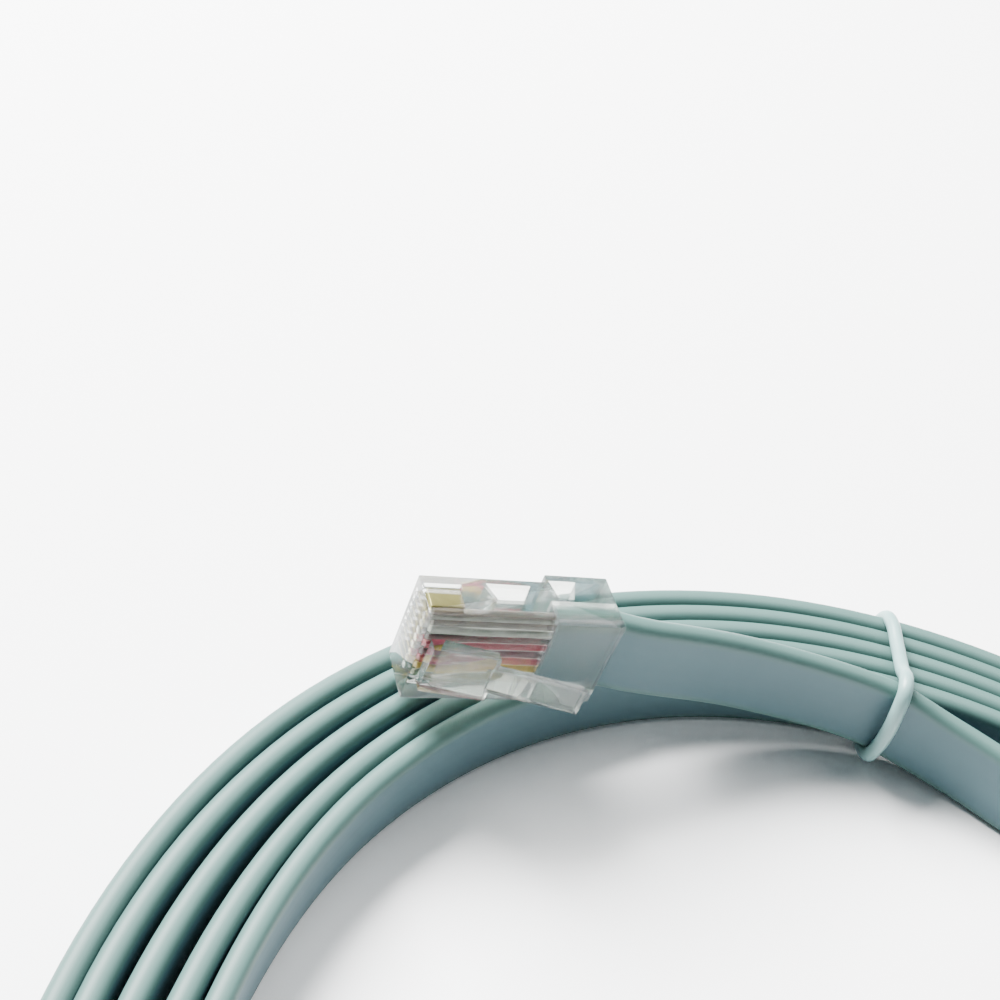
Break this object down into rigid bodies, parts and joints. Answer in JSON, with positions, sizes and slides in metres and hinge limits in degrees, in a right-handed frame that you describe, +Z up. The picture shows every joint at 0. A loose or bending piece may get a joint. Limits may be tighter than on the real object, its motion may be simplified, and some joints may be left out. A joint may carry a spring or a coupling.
{
  "type": "rj45 console cable",
  "caption": "Flat cable wound on edge into a coil held by a round band, with a clear latching modular plug on each end lying on top of the coil.",
  "frame": {"origin": "the coil's axis at the level of its underside", "axes": "+Z up along the coil's axis; the near plug lies at -X +Y and the band crosses the coil near +Y"},
  "size_m": [0.1586, 0.1602, 0.0242],
  "materials": {
    "jacket": "soft satin vinyl, pale blue-green",
    "band": "soft smooth vinyl, pale blue-green",
    "clear_plastic": "clear polycarbonate, polished",
    "gold": "gold-plated bronze, bright",
    "wire_brown": "satin insulation",
    "wire_grey": "satin insulation",
    "wire_charcoal": "satin insulation",
    "wire_olive": "satin insulation",
    "wire_red": "satin insulation",
    "wire_black": "satin insulation",
    "wire_crimson": "satin insulation",
    "wire_yellow": "satin insulation"
  },
  "bodies": {
    "root": {"cable_coil": "jacket", "near_cable_end": "jacket", "far_cable_end": "jacket", "tie_band": "band", "near_plug_body": "clear_plastic", "near_contact_1": "gold", "near_wire_1": "wire_brown", "near_contact_2": "gold", "near_wire_2": "wire_grey", "near_contact_3": "gold", "near_wire_3": "wire_charcoal", "near_contact_4": "gold", "near_wire_4": "wire_red", "near_contact_5": "gold", "near_wire_5": "wire_black", "near_contact_6": "gold", "near_wire_6": "wire_crimson", "near_contact_7": "gold", "near_wire_7": "wire_yellow", "near_contact_8": "gold", "near_wire_8": "wire_olive", "far_plug_body": "clear_plastic", "far_contact_1": "gold", "far_wire_1": "wire_olive", "far_contact_2": "gold", "far_wire_2": "wire_yellow", "far_contact_3": "gold", "far_wire_3": "wire_crimson", "far_contact_4": "gold", "far_wire_4": "wire_black", "far_contact_5": "gold", "far_wire_5": "wire_red", "far_contact_6": "gold", "far_wire_6": "wire_charcoal", "far_contact_7": "gold", "far_wire_7": "wire_grey", "far_contact_8": "gold", "far_wire_8": "wire_brown"}
  },
  "joints": []
}
